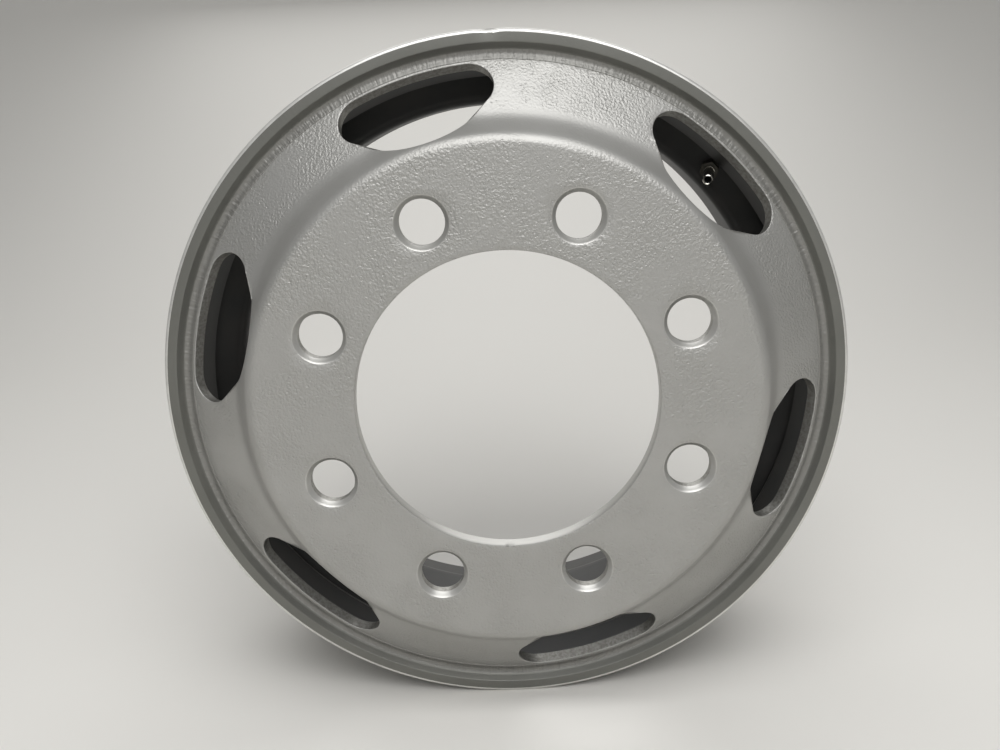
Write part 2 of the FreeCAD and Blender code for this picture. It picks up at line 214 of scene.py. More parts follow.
class LoopChain:
    """Surface pulled along a chain of closed loops, each extruded from the last."""

    def __init__(self, mesh: bmesh.types.BMesh, places: Places) -> None:
        """Draw the first loop.

        Args:
            mesh: Receives the surface.
            places: Places of the loop's vertices, in metres.
        """
        self.mesh = mesh
        self.verts = [mesh.verts.new(place) for place in places]
        self.edges = [mesh.edges.new((self.verts[index - 1], vert)) for index, vert in enumerate(self.verts)]

    def pull(self, places: Places, material: int = 0) -> None:
        """Extrude the last loop to new places.

        Args:
            places: Places of the new loop's vertices, in the same order.
            material: Material index of the new faces.
        """
        order = {vert.co.to_tuple(): index for index, vert in enumerate(self.verts)}
        made = bmesh.ops.extrude_edge_only(self.mesh, edges=self.edges)["geom"]
        fresh = {item for item in made if isinstance(item, bmesh.types.BMVert)}
        self.edges = [item for item in made if isinstance(item, bmesh.types.BMEdge)
                      and item.verts[0] in fresh and item.verts[1] in fresh]
        for item in made:
            if isinstance(item, bmesh.types.BMFace):
                item.material_index = material
        self.verts = sorted(fresh, key=lambda vert: order[vert.co.to_tuple()])
        for vert, place in zip(self.verts, places):
            vert.co = place


# Finishes

def linear(hex_colour: str) -> tuple[float, float, float, float]:
    """sRGB hex colour as linear RGBA."""
    channels = [int(hex_colour[index:index + 2], 16) / 255 for index in (1, 3, 5)]
    red, green, blue = [c / 12.92 if c <= 0.04045 else ((c + 0.055) / 1.055) ** 2.4 for c in channels]
    return red, green, blue, 1.0


def per_metre(size: float) -> float:
    """Texture scale whose features are about a size in millimetres."""
    return 1.0 / mm(size)


def add_node(tree: bpy.types.NodeTree, kind: str, settings: dict[str, object] | None = None,
             **inputs: object) -> bpy.types.Node:
    """Add a node with its settings and links.

    Args:
        tree: Node tree that receives it.
        kind: Blender's node type.
        settings: Attributes of the node.
        inputs: Value or output socket for each input, by its name with underscores, or by its number as in_0.

    Returns:
        The node.
    """
    node = tree.nodes.new(kind)
    for attribute, value in (settings or {}).items():
        setattr(node, attribute, value)
    for name, value in inputs.items():
        if name.startswith("in_"):
            socket = node.inputs[int(name[3:])]
        else:
            socket = node.inputs[name.replace("_", " ")]
        if isinstance(value, bpy.types.NodeSocket):
            tree.links.new(value, socket)
        else:
            socket.default_value = value
    return node


@dataclass(frozen=True)
class SilverEnamel:
    """Aluminium-pigment enamel sprayed over shot-blasted, once rusted steel.

    The eye sees an even silver grey with a broad soft sheen. Patches of it are pebbled by a fine grain with
    small pits that sparkle at their edges, and the step between nave and cone is smoother. On the rolled
    flange of the rim the old scale shows as short radial streaks.
    """

    name: str = "silver enamel over pitted steel"
    light: str = "#b2b1ae"
    dark: str = "#a3a29e"
    metallic: float = 0.62
    roughness: float = 0.46
    grain: float = 1.8
    grain_height: float = 0.9
    pit_spacing: float = 3.0
    pit_width: float = 1.7
    pit_depth: float = 0.2
    pit_share: float = 0.6
    patch: float = 42.0
    patch_edge: tuple[float, float] = (0.36, 0.58)
    patch_low: float = 0.35
    smooth_band: tuple[float, float] = (190.0, 203.0)
    smooth_fade: tuple[float, float] = (8.0, 6.0)
    smooth_grain: float = 0.2
    streak_width: float = 2.6
    streak_length: float = 24.0
    streak_height: float = 0.0

    def build(self) -> bpy.types.Material:
        """Make the material.

        Returns:
            The material, on Object coordinates.
        """
        material = bpy.data.materials.new(self.name)
        material.use_nodes = True
        tree = material.node_tree
        shader = tree.nodes["Principled BSDF"]
        place = add_node(tree, "ShaderNodeTexCoord").outputs["Object"]
        parts = add_node(tree, "ShaderNodeSeparateXYZ", Vector=place)
        flat = add_node(tree, "ShaderNodeCombineXYZ", X=parts.outputs["X"], Z=parts.outputs["Z"])
        radius = add_node(tree, "ShaderNodeVectorMath", {"operation": "LENGTH"}, in_0=flat.outputs[0])
        patches = add_node(tree, "ShaderNodeTexNoise", Vector=place, Scale=per_metre(self.patch), Detail=3.0)
        inside = add_node(tree, "ShaderNodeMapRange", {"interpolation_type": "SMOOTHSTEP"},
                          Value=radius.outputs["Value"],
                          From_Min=mm(self.smooth_band[0] - self.smooth_fade[0]),
                          From_Max=mm(self.smooth_band[0]), To_Min=1.0, To_Max=self.smooth_grain)
        outside = add_node(tree, "ShaderNodeMapRange", {"interpolation_type": "SMOOTHSTEP"},
                           Value=radius.outputs["Value"], From_Min=mm(self.smooth_band[1]),
                           From_Max=mm(self.smooth_band[1] + self.smooth_fade[1]),
                           To_Min=self.smooth_grain, To_Max=1.0)
        band = add_node(tree, "ShaderNodeMath", {"operation": "MAXIMUM"}, in_0=inside.outputs[0],
                        in_1=outside.outputs[0])
        pebbled = add_node(tree, "ShaderNodeMapRange", Value=patches.outputs["Fac"],
                           From_Min=self.patch_edge[0], From_Max=self.patch_edge[1], To_Min=self.patch_low,
                           To_Max=1.0)
        rough = add_node(tree, "ShaderNodeMath", {"operation": "MULTIPLY"}, in_0=band.outputs[0],
                         in_1=pebbled.outputs[0])
        grain = add_node(tree, "ShaderNodeTexNoise", Vector=place, Scale=per_metre(self.grain), Detail=2.0)
        cells = add_node(tree, "ShaderNodeTexVoronoi", Vector=place, Scale=per_metre(self.pit_spacing))
        hollow = add_node(tree, "ShaderNodeMapRange", {"interpolation_type": "SMOOTHSTEP"},
                          Value=cells.outputs["Distance"], From_Min=0.05,
                          From_Max=self.pit_width / 2 / self.pit_spacing)
        chance = add_node(tree, "ShaderNodeSeparateColor", Color=cells.outputs["Color"])
        share = add_node(tree, "ShaderNodeMath", {"operation": "MULTIPLY"}, in_0=pebbled.outputs[0],
                         in_1=self.pit_share)
        whole = add_node(tree, "ShaderNodeMath", {"operation": "GREATER_THAN"}, in_0=chance.outputs["Red"],
                         in_1=share.outputs[0])
        height = add_node(tree, "ShaderNodeMath", {"operation": "MAXIMUM"}, in_0=hollow.outputs[0],
                          in_1=whole.outputs[0])
        colour = add_node(tree, "ShaderNodeMix", {"data_type": "RGBA"}, in_0=patches.outputs["Fac"],
                          in_6=linear(self.light), in_7=linear(self.dark))
        tree.links.new(colour.outputs[2], shader.inputs["Base Color"])
        pit_bump = add_node(tree, "ShaderNodeBump", Strength=band.outputs[0], Distance=mm(self.pit_depth),
                            Height=height.outputs[0])
        bump = add_node(tree, "ShaderNodeBump", Strength=rough.outputs[0], Distance=mm(self.grain_height),
                        Height=grain.outputs["Fac"], Normal=pit_bump.outputs[0])
        if self.streak_height:
            around = add_node(tree, "ShaderNodeVectorMath", {"operation": "NORMALIZE"}, in_0=flat.outputs[0])
            spread = add_node(tree, "ShaderNodeVectorMath", {"operation": "SCALE"}, in_0=around.outputs[0],
                              Scale=250.0 / self.streak_width)
            along = add_node(tree, "ShaderNodeMath", {"operation": "MULTIPLY"}, in_0=radius.outputs["Value"],
                             in_1=per_metre(self.streak_length))
            lift = add_node(tree, "ShaderNodeCombineXYZ", Y=along.outputs[0])
            spot = add_node(tree, "ShaderNodeVectorMath", {"operation": "ADD"}, in_0=spread.outputs[0],
                            in_1=lift.outputs[0])
            streaks = add_node(tree, "ShaderNodeTexNoise", Vector=spot.outputs[0], Scale=1.0, Detail=2.0)
            bump = add_node(tree, "ShaderNodeBump", Strength=1.0, Distance=mm(self.streak_height),
                            Height=streaks.outputs["Fac"], Normal=bump.outputs[0])
        tree.links.new(bump.outputs[0], shader.inputs["Normal"])
        shader.inputs["Metallic"].default_value = self.metallic
        shader.inputs["Roughness"].default_value = self.roughness
        return material


@dataclass(frozen=True)
class PlainFinish:
    """A single-colour finish with a fine uneven surface."""

    name: str
    colour: str
    patch: str
    metallic: float
    roughness: float
    patch_size: float
    bump_height: float

    def build(self) -> bpy.types.Material:
        """Make the material.

        Returns:
            The material, on Object coordinates.
        """
        material = bpy.data.materials.new(self.name)
        material.use_nodes = True
        tree = material.node_tree
        shader = tree.nodes["Principled BSDF"]
        place = add_node(tree, "ShaderNodeTexCoord").outputs["Object"]
        noise = add_node(tree, "ShaderNodeTexNoise", Vector=place, Scale=per_metre(self.patch_size),
                         Detail=4.0, Roughness=0.6)
        share = add_node(tree, "ShaderNodeMapRange", Value=noise.outputs["Fac"], From_Min=0.35, From_Max=0.65)
        colour = add_node(tree, "ShaderNodeMix", {"data_type": "RGBA"}, in_0=share.outputs[0],
                          in_6=linear(self.colour), in_7=linear(self.patch))
        bump = add_node(tree, "ShaderNodeBump", Strength=1.0, Distance=mm(self.bump_height),
                        Height=noise.outputs["Fac"])
        tree.links.new(colour.outputs[2], shader.inputs["Base Color"])
        tree.links.new(bump.outputs[0], shader.inputs["Normal"])
        shader.inputs["Metallic"].default_value = self.metallic
        shader.inputs["Roughness"].default_value = self.roughness
        return material


class Coat(IntEnum):
    """Material places on the disc and the rim."""

    FRONT = 0
    SHEARED_AND_EDGE_HIGHLIGHT = 1
    BACK = 2
    SMOOTH = 3
    WORN_AND_SHADED = 4


@dataclass
class Finishes:
    """Every material of the wheel."""

    silver: SilverEnamel = SilverEnamel()
    # Rolled flange: the same silver over dark mill scale, greyer and streaked outwards from the axle
    rolled: SilverEnamel = SilverEnamel("silver enamel over rolled steel", "#94938f", "#807f7b",
                                        grain_height=0.4, pit_depth=0.12, streak_height=0.8)
    # Machined seats and bore: the same silver, drawn smooth and a little glossier
    smooth: SilverEnamel = SilverEnamel("silver enamel over machined steel", "#c6c5c1", "#b8b7b3",
                                        roughness=0.38, grain_height=0.03, pit_depth=0.04)
    # Face and inner wall of the lip: thin, dulled silver gone dark grey; on the recessed inner wall the dark
    # grey is also painted shade
    dulled_and_shaded: SilverEnamel = SilverEnamel("dulled silver enamel", "#7d7d78", "#6f6f6a", 0.6, 0.45,
                                        grain_height=0.08, pit_depth=0.06, streak_height=0.12)
    # Rounded outer edge of the lip, painted bright as a painted highlight
    painted_highlight: PlainFinish = PlainFinish("rubbed steel edge", "#dddcd8", "#cfceca", 0.55, 0.3, 9.0, 0.02)
    # Punched edge under thin silver: fine bright scores with grey between them
    sheared: PlainFinish = PlainFinish("thinly painted sheared steel", "#a9a8a3", "#8a8883", 0.85, 0.42,
                                       2.4, 0.3)
    # Old black chassis paint, dusted brown by road dirt: a dull near-black that reflects little. The rim's
    # crevice gets it too, as painted shade
    old_paint_and_crevice_shade: PlainFinish = PlainFinish("old chassis paint and crevice shade", "#1b1c1b", "#252321", 0.0, 0.5, 30.0, 0.25)
    # Plated brass of the valve: bright, slightly warm silver, smooth
    plated: PlainFinish = PlainFinish("plated brass", "#cbc9c3", "#b9b6ae", 1.0, 0.25, 4.0, 0.01)
    # The same plating behind the tip, coloured a dark grey brown
    darkened: PlainFinish = PlainFinish("grimed plated brass", "#4c4942", "#37352f", 0.5, 0.55, 3.0, 0.04)
    # Moulded black rubber: matt and even. The valve stem's bore gets it too, as painted shade
    rubber_and_bore_shade: PlainFinish = PlainFinish("moulded rubber", "#1b1b1b", "#232322", 0.0, 0.75, 6.0, 0.05)
    made: dict[str, bpy.types.Material] = field(default_factory=dict)

    def get(self, finish: SilverEnamel | PlainFinish) -> bpy.types.Material:
        """Material of a finish, made once."""
        if finish.name not in self.made:
            self.made[finish.name] = finish.build()
        return self.made[finish.name]


# Sub-assemblies

@dataclass
class RimSection:
    """Sizes of the drop-centre rim, as in the CAD.

    The front flange's face rolls inwards over the bend of the disc, where the photograph shows the crevice.
    """

    bead: float = 247.65
    flange_height: float = 12.7
    front: float = 44.275
    rear: float = 215.725
    wall: float = 6.0
    flange_wall: float = 8.5
    flange_reach: float = 13.0
    lip_wall: float = 9.3
    lip_draft: float = 1.5
    seat_angle: float = 15.0
    seat_width: float = 33.0
    well_depth: float = 31.0
    flank_angle: float = 20.0
    ledge_angle: float = 25.0
    face_inner: float = 238.9
    face_crest: float = 34.7
    face_foot: float = 245.6
    face_foot_depth: float = 38.4
    recess_edge: float = 1.0
    edge_fillet: float = 2.6
    flange_fillet: float = 7.5
    heel_fillet: float = 6.0
    toe_fillet: float = 8.0
    foot_fillet: float = 5.0
    ledge_fillet: float = 18.0
    lip_fillet: float = 1.2
    root_fillet: float = 4.0
    floor_fillet: float = 24.0
    flank_fillet: float = 11.0
    seat_fillet: float = 2.0
    crest_fillet: float = 1.0
    recess_fillet: float = 5.0

    @property
    def top(self) -> float:
        """Radius of the flanges."""
        return self.bead + self.flange_height

    @property
    def recess(self) -> float:
        """Radius at the foot of the front lip's inner wall."""
        return self.face_foot + self.recess_edge

    @property
    def lip_face(self) -> float:
        """Depth of the front lip's face."""
        return self.front - self.flange_reach

    @property
    def seat_inside(self) -> float:
        """Radius of the front seat's inner skin at the flange plane."""
        return self.bead - self.wall / math.cos(math.radians(self.seat_angle))

    def outline(self) -> list[Point]:
        """Closed section of the rim, with its rounded corners."""
        top, low = self.top, self.lip_face
        lip, root = top - self.lip_wall, top - self.lip_wall - self.lip_draft
        drop = self.seat_width * math.tan(math.radians(self.seat_angle))
        well = self.bead - self.well_depth
        fall = self.well_depth - drop
        toe = self.bead - drop, self.front + self.seat_width
        foot = well, toe[1] + fall * math.tan(math.radians(self.flank_angle))
        rear_toe = self.bead - drop, self.rear - self.seat_width
        rear_foot = well, rear_toe[1] - fall / math.tan(math.radians(self.ledge_angle))
        seat = line_through(toe, -self.seat_angle, self.wall)
        flank = line_through(toe, self.flank_angle - 90, self.wall)
        floor = line_through(foot, 0, self.wall)
        ledge = line_through(rear_foot, self.ledge_angle, self.wall)
        rear_seat = line_through(rear_toe, self.seat_angle, self.wall)
        inside = self.seat_inside + self.flange_wall * math.tan(math.radians(self.seat_angle))
        high = self.rear + self.flange_reach
        rear_face = self.rear + self.flange_wall
        hidden = self.face_foot_depth
        outside = [
            ((top, low), self.edge_fillet), ((top, self.front), self.flange_fillet),
            ((self.bead, self.front), self.heel_fillet), (toe, self.toe_fillet), (foot, self.foot_fillet),
            (rear_foot, self.ledge_fillet), (rear_toe, self.ledge_fillet),
            ((self.bead, self.rear), self.heel_fillet), ((top, self.rear), self.flange_fillet),
            ((top, high), self.edge_fillet), ((lip, high), self.lip_fillet),
        ]
        underside = [
            ((root, rear_face), self.root_fillet), ((inside, rear_face), self.lip_fillet),
            (meeting(ledge, rear_seat), self.ledge_fillet), (meeting(floor, ledge), self.floor_fillet),
            (meeting(flank, floor), self.flank_fillet), (meeting(seat, flank), self.seat_fillet),
            (meeting(seat, line_through((0, hidden), 90)), 0), ((self.face_inner, hidden), 0),
            ((self.face_inner, self.face_crest), self.crest_fillet),
            ((self.face_foot, self.face_foot_depth), self.recess_fillet), ((lip, low), self.lip_fillet),
        ]
        return rounded(outside + underside, closed=True)


@dataclass
class Rim:
    """Rolled rim, with the front painted and the inside in its old coat."""

    finishes: Finishes
    section: RimSection = field(default_factory=RimSection)
    painted_to: float = 62.0
    edge_width: float = 3.0
    face_depth: float = 0.6
    crevice_width: float = 0.5
    knock_angle: float = -0.6
    knock_span: float = 1.8
    knock_depth: float = 0.9

    def build(self) -> bpy.types.Object:
        """Make the rim.

        Returns:
            The rim's object.
        """
        mesh = bmesh.new()
        spin_section(mesh, self.section.outline(), closed=True)
        self.knock_edge(mesh)
        piece = new_piece("rolled_rim", mesh, "rim", slot="silver_paint")
        self.dress(piece)
        return piece

    def knock_edge(self, mesh: bmesh.types.BMesh) -> None:
        """Flatten the front lip's edge a little where it has been knocked, near the top."""
        section = self.section
        for vert in mesh.verts:
            angle = math.degrees(math.atan2(vert.co.x, vert.co.z)) - self.knock_angle
            corner = math.hypot(vert.co.x, vert.co.z) - mm(section.top) - (vert.co.y - mm(section.lip_face))
            if abs(angle) < self.knock_span and corner > -mm(2 * self.edge_width):
                share = 1 - (angle / self.knock_span) ** 2
                vert.co.z -= mm(self.knock_depth) * share
                vert.co.y += mm(self.knock_depth) * share

    def dress(self, piece: bpy.types.Object) -> None:
        """Give the rim its finishes."""
        section, finishes = self.section, self.finishes
        coats = (finishes.rolled, finishes.painted_highlight, finishes.old_paint_and_crevice_shade, finishes.smooth, finishes.dulled_and_shaded)
        for finish in coats:
            piece.data.materials.append(finishes.get(finish))
        highlight_radius = mm(section.top - self.edge_width)
        highlight_depth = mm(section.lip_face + self.edge_width)
        for face in piece.data.polygons:
            across = math.hypot(face.center.x, face.center.z)
            behind = mm(self.painted_to) < face.center.y < mm(section.rear)
            deep = face.center.y > mm(section.face_foot_depth + self.face_depth)
            inward = face.normal.x * face.center.x + face.normal.z * face.center.z < 0
            # Crevice faces between the rolled face and the disc's bend: the near-black old paint there is
            # painted shade
            crevice = across < mm(section.face_inner + self.crevice_width) and not deep
            if crevice or (behind and across < mm(section.seat_inside) and inward):
                face.material_index = Coat.BACK
            # Rounded outer edge of the lip: a bright colour as painted highlight
            elif across > highlight_radius and face.center.y < highlight_depth:
                face.material_index = Coat.SHEARED_AND_EDGE_HIGHLIGHT
            # Lip face and inner wall: dulled dark grey paint, with painted shade on the recessed inner wall
            elif mm(section.recess) < across < highlight_radius and not deep:
                face.material_index = Coat.WORN_AND_SHADED


@dataclass
class HandHole:
    """Hand hole outline, drawn on the cone's slope and punched square to it."""

    inner: float = 186.7
    length: float = 61.8
    half_width: float = 57.3
    end_radius: float = 49.5
    corner_radius: float = 18.3
    outer_radius: float = 300.0
    samples: int = 60

    def outline(self, aside: float) -> np.ndarray:
        """Points round the hole.

        Args:
            aside: How far the outline is moved outwards, mm.

        Returns:
            Rows of distance across and distance up the slope.
        """
        end, corner, outer = self.end_radius, self.corner_radius, self.outer_radius
        reach = self.half_width - corner
        height = self.length - outer + math.sqrt((outer - corner) ** 2 - reach ** 2)
        lean = math.atan2(height - end, reach) + math.asin((end - corner) / math.hypot(reach, height - end))
        spread = math.asin(reach / (outer - corner))
        down = -math.pi / 2
        arcs = (
            (0.0, end, end, down, down + lean),
            (reach, height, corner, down + lean, -down - spread),
            (0.0, self.length - outer, outer, -down - spread, -down + spread),
            (-reach, height, corner, -down + spread, -down + spread + (math.pi - lean - spread)),
            (0.0, end, end, down - lean + math.tau, down + math.tau),
        )
        rows = []
        for across, up, radius, first, last in arcs:
            turn = np.linspace(first, last, self.samples)
            rows.append(np.column_stack((across + (radius + aside) * np.cos(turn),
                                         up + (radius + aside) * np.sin(turn))))
        return np.vstack(rows)


@dataclass
class Disc:
    """Pressed disc: nave with bolt holes, step, cone with hand holes, and skirt."""

    finishes: Finishes
    rim: RimSection = field(default_factory=RimSection)
    hand_hole: HandHole = field(default_factory=HandHole)
    bore: float = 110.5
    bore_chamfer: float = 1.2
    nave_wall: float = 12.0
    nave_radius: float = 188.0
    nave_edge_radius: float = 10.0
    step_depth: float = 21.0
    step_angle: float = 29.0
    step_wall: float = 10.0
    step_root_radius: float = 24.0
    cone_angle: float = 56.3
    cone_wall: float = 8.5
    bend_radius: float = 3.0
    skirt_wall: float = 7.0
    skirt_length: float = 18.0
    skirt_gap: float = 0.15
    inner_radius: float = 2.5
    bolt_count: int = 8
    bolt_circle: float = 142.5
    bolt_angle: float = 22.5
    bolt_hole: float = 16.25
    ball_seat_mouth: float = 19.3
    ball_seat_radius: float = 22.0
    hole_count: int = 6
    hole_angle: float = 45.0
    hole_middle: float = 214.0
    hole_edge: float = 0.7
    front_ring: float = 182.0
    back_ring: float = 180.0
    edge_break: float = 0.4
    nick_angle: float = 181.6
    nick_depth: float = 2.6
    nick_spread: float = 1.5
    nick_lean: float = 0.4
    bore_break: tuple[float, float] = (0.35, 0.3)
    crest_inset: float = 0.35

    def __post_init__(self) -> None:
        """Work out the section's front and back skins."""
        edge = (self.nave_radius, -self.nave_wall)
        rise = self.step_depth * math.tan(math.radians(self.step_angle))
        root = (self.nave_radius + rise, self.step_depth - self.nave_wall)
        seat = (self.rim.seat_inside, self.rim.front)
        skirt = line_through(seat, -self.rim.seat_angle, self.skirt_gap)
        skirt_inside = line_through(seat, -self.rim.seat_angle, self.skirt_gap + self.skirt_wall)
        cone_inside = line_through(root, self.cone_angle, self.cone_wall)
        step_inside = line_through(edge, self.step_angle, self.step_wall)
        end = meeting(skirt, line_through((0, self.rim.front + self.skirt_length), 90))
        square = line_through(end, 90 - self.rim.seat_angle)
        self.front = rounded([
            ((self.bore, -self.nave_wall), 0), (edge, self.nave_edge_radius), (root, self.step_root_radius),
            (meeting(line_through(root, self.cone_angle), skirt), self.bend_radius), (end, 0),
        ])
        self.back = rounded([
            ((self.bore, 0.0), 0), (meeting(step_inside, line_through((0, 0), 90)), self.inner_radius),
            (meeting(step_inside, cone_inside), self.step_root_radius + self.cone_wall),
            (meeting(cone_inside, skirt_inside), self.inner_radius), (meeting(skirt_inside, square), 0),
        ])

    @staticmethod
    def climb(path: list[Point]) -> np.ndarray:
        """The part of a skin over which its radius grows, as rows of radius and depth."""
        crest = max(range(len(path)), key=lambda index: path[index][0])
        return np.array(path[:crest + 1])

    def depth_at(self, path: list[Point], radius: np.ndarray) -> np.ndarray:
        """Depth of a skin at each radius."""
        rows = self.climb(path)
        return np.interp(radius, rows[:, 0], rows[:, 1])

    def punch(self, flat: np.ndarray, path: list[Point]) -> np.ndarray:
        """Carry a hand hole's outline along the punch to a skin of the disc.

        Args:
            flat: Rows of distance across and up the slope.
            path: The skin.

        Returns:
            Rows of distance across, radius in the hole's middle plane, and depth.
        """
        slope = math.radians(self.cone_angle)
        root = (self.nave_radius + self.step_depth * math.tan(math.radians(self.step_angle)),
                self.step_depth - self.nave_wall)
        start_depth = root[1] + (self.hand_hole.inner - root[0]) / math.tan(slope)
        across = flat[:, 0]
        up = self.hand_hole.inner + flat[:, 1] * math.sin(slope)
        depth = start_depth + flat[:, 1] * math.cos(slope)
        low, high = np.full(len(flat), -60.0), np.full(len(flat), 60.0)
        for _ in range(60):
            middle = (low + high) / 2
            above = up + middle * math.cos(slope)
            outside = depth - middle * math.sin(slope) < self.depth_at(path, np.hypot(across, above))
            high, low = np.where(outside, middle, high), np.where(outside, low, middle)
        return np.column_stack((across, up + low * math.cos(slope), depth - low * math.sin(slope)))

    @staticmethod
    def sector(inner: float, outer: float, start: float, span: float, sides: int) -> list[Point]:
        """Closed boundary of a sector of the disc, seen from the front.

        Args:
            inner: Radius of the inner arc.
            outer: Radius of the outer arc.
            start: Angle of its first side.
            span: Angle between its sides.
            sides: Steps along each side.

        Returns:
            Radius and angle of each point.
        """
        steps = round(span * RING_STEPS / 360)
        arc = [start + span * step / steps for step in range(steps + 1)]
        rise = [inner + (outer - inner) * step / sides for step in range(1, sides)]
        loop = [(inner, angle) for angle in arc] + [(radius, arc[-1]) for radius in rise]
        loop += [(outer, angle) for angle in reversed(arc)] + [(radius, arc[0]) for radius in reversed(rise)]
        return loop

    def blend_in(self, chain: LoopChain, path: list[Point], border: np.ndarray, hole: np.ndarray, steps: int,
                 outward: bool, coat: Coat) -> None:
        """Pull loops over a skin between a sector's border and the edge of a hole.

        Args:
            chain: Chain that ends at the border, or at the hole if outward.
            path: The skin.
            border: Plan places of the border, rows of x and z in mm.
            hole: Plan places of the hole's edge.
            steps: Number of loops.
            outward: Whether the chain runs from the hole to the border.
            coat: Material of the faces.
        """
        for step in range(1, steps + 1):
            share = step / steps
            plan = hole + (border - hole) * share if outward else border + (hole - border) * share
            chain.pull(self.lay(plan, path), coat)

    def plan_places(self, loop: list[Point]) -> np.ndarray:
        """Plan places of radius and angle pairs, as rows of x and z."""
        return np.array([(radius * math.sin(math.radians(angle)), radius * math.cos(math.radians(angle)))
                         for radius, angle in loop])

    def lay(self, plan: np.ndarray, path: list[Point]) -> Places:
        """Places on a skin above plan places."""
        depth = self.depth_at(path, np.hypot(plan[:, 0], plan[:, 1]))
        return [Vector((x, y, z)) * METRES_PER_MM for (x, z), y in zip(plan, depth)]

    def crest_radius(self, path: list[Point]) -> float:
        """Radius of the ring where the cone's sectors end, just inside the skin's widest place."""
        return float(self.climb(path)[-1, 0]) - self.crest_inset

    def cut_hand_hole(self, mesh: bmesh.types.BMesh, angle: float) -> None:
        """Skin one sector of the cone round its hand hole.

        Args:
            mesh: Receives the surface.
            angle: The hole's middle.
        """
        span = 360 / self.hole_count
        turn = math.radians(angle)
        borders = []
        for path, ring in ((self.front, self.front_ring), (self.back, self.back_ring)):
            loop = self.sector(ring, self.crest_radius(path), angle - span / 2, span, CONE_SIDE_STEPS)
            borders.append(self.plan_places(loop))

        def to_plan(rows: np.ndarray) -> np.ndarray:
            across, up = rows[:, 0], rows[:, 1]
            return np.column_stack((across * math.cos(turn) + up * math.sin(turn),
                                    up * math.cos(turn) - across * math.sin(turn)))

        wide = self.punch(self.hand_hole.outline(self.hole_edge), self.front)
        bearing = np.unwrap(np.arctan2(wide[:, 1] - self.hole_middle, wide[:, 0]))
        local_x = borders[0][:, 0] * math.cos(turn) - borders[0][:, 1] * math.sin(turn)
        local_w = borders[0][:, 0] * math.sin(turn) + borders[0][:, 1] * math.cos(turn)
        wanted = np.arctan2(local_w - self.hole_middle, local_x)
        wanted = bearing[0] + np.mod(wanted - bearing[0], math.tau)
        spots = np.interp(wanted, bearing, np.arange(len(bearing)))

        def picked(rows: np.ndarray) -> np.ndarray:
            index = np.arange(len(rows))
            return np.column_stack([np.interp(spots, index, column) for column in rows.T])

        def ring_places(rows: np.ndarray) -> Places:
            plan = to_plan(rows)
            return [Vector((x, y, z)) * METRES_PER_MM for (x, z), y in zip(plan, rows[:, 2])]

        slope = math.radians(self.cone_angle)
        inward = np.array([0.0, -math.cos(slope), math.sin(slope)])
        chain = LoopChain(mesh, self.lay(borders[0], self.front))
        self.blend_in(chain, self.front, borders[0], to_plan(picked(wide)), CONE_FRONT_LOOPS, False,
                      Coat.FRONT)
        for share in (0.25, 0.5, 0.75, 1.0):
            bend = share * math.pi / 2
            aside = self.hole_edge * (1 - math.sin(bend))
            rows = self.punch(self.hand_hole.outline(aside), self.front)
            rows = rows + inward * self.hole_edge * (1 - math.cos(bend))
            chain.pull(ring_places(picked(rows)), Coat.FRONT)
        through = self.punch(self.hand_hole.outline(0.0), self.back)
        top = self.punch(self.hand_hole.outline(0.0), self.front) + inward * self.hole_edge
        for share in (0.3, 0.65, 1.0):
            rows = top + (through - inward * self.edge_break - top) * share
            chain.pull(ring_places(picked(rows)), Coat.SHEARED_AND_EDGE_HIGHLIGHT)
        wide_back = self.punch(self.hand_hole.outline(self.edge_break), self.back)
        chain.pull(ring_places(picked(wide_back)), Coat.BACK)
        self.blend_in(chain, self.back, borders[1], to_plan(picked(wide_back)), CONE_BACK_LOOPS, True,
                      Coat.BACK)

    def cut_bolt_hole(self, mesh: bmesh.types.BMesh, angle: float) -> None:
        """Skin one sector of the nave round its bolt hole and ball seat.

        Args:
            mesh: Receives the surface.
            angle: The hole's middle.
        """
        span = 360 / self.bolt_count
        mouth_ring, back_bore = self.bore + self.bore_chamfer, self.bore + self.edge_break
        start = angle - span / 2
        front_border = self.plan_places(self.sector(mouth_ring, self.front_ring, start, span, NAVE_SIDE_STEPS))
        back_border = self.plan_places(self.sector(back_bore, self.back_ring, start, span, NAVE_SIDE_STEPS))
        centre = self.plan_places([(self.bolt_circle, angle)])[0]
        spokes = front_border - centre
        spokes /= np.linalg.norm(spokes, axis=1)[:, None]

        def circle(radius: float, depth: float) -> Places:
            return [Vector((x, depth, z)) * METRES_PER_MM for x, z in centre + spokes * radius]

        face = -self.nave_wall
        ball = face - math.sqrt(self.ball_seat_radius ** 2 - self.ball_seat_mouth ** 2)
        chain = LoopChain(mesh, self.lay(front_border, self.front))
        lip = self.ball_seat_mouth + self.edge_break
        self.blend_in(chain, self.front, front_border, centre + spokes * lip, NAVE_FRONT_LOOPS, False,
                      Coat.FRONT)
        for share in (0.0, 0.33, 0.67, 1.0):
            radius = self.ball_seat_mouth + (self.bolt_hole - self.ball_seat_mouth) * share
            depth = ball + math.sqrt(self.ball_seat_radius ** 2 - radius ** 2)
            chain.pull(circle(radius, max(depth, face + self.edge_break / 2)), Coat.SMOOTH)
        chain.pull(circle(self.bolt_hole, -self.edge_break), Coat.SHEARED_AND_EDGE_HIGHLIGHT)
        chain.pull(circle(self.bolt_hole + self.edge_break, 0.0), Coat.BACK)
        rear_edge = centre + spokes * (self.bolt_hole + self.edge_break)
        self.blend_in(chain, self.back, back_border, rear_edge, NAVE_BACK_LOOPS, True, Coat.BACK)

    def cut_bore(self, mesh: bmesh.types.BMesh) -> None:
        """Line the hub bore, with the small nick in its front edge."""
        angles = [360 * step / RING_STEPS for step in range(RING_STEPS)]

        def ring(radius: float, depth: float, nick: float) -> Places:
            places = []
            for angle in angles:
                away = abs(angle - self.nick_angle)
                dip = nick * max(0.0, 1 - away / self.nick_spread)
                places.append(round_axle(radius + dip, depth + dip * self.nick_lean, angle))
            return places

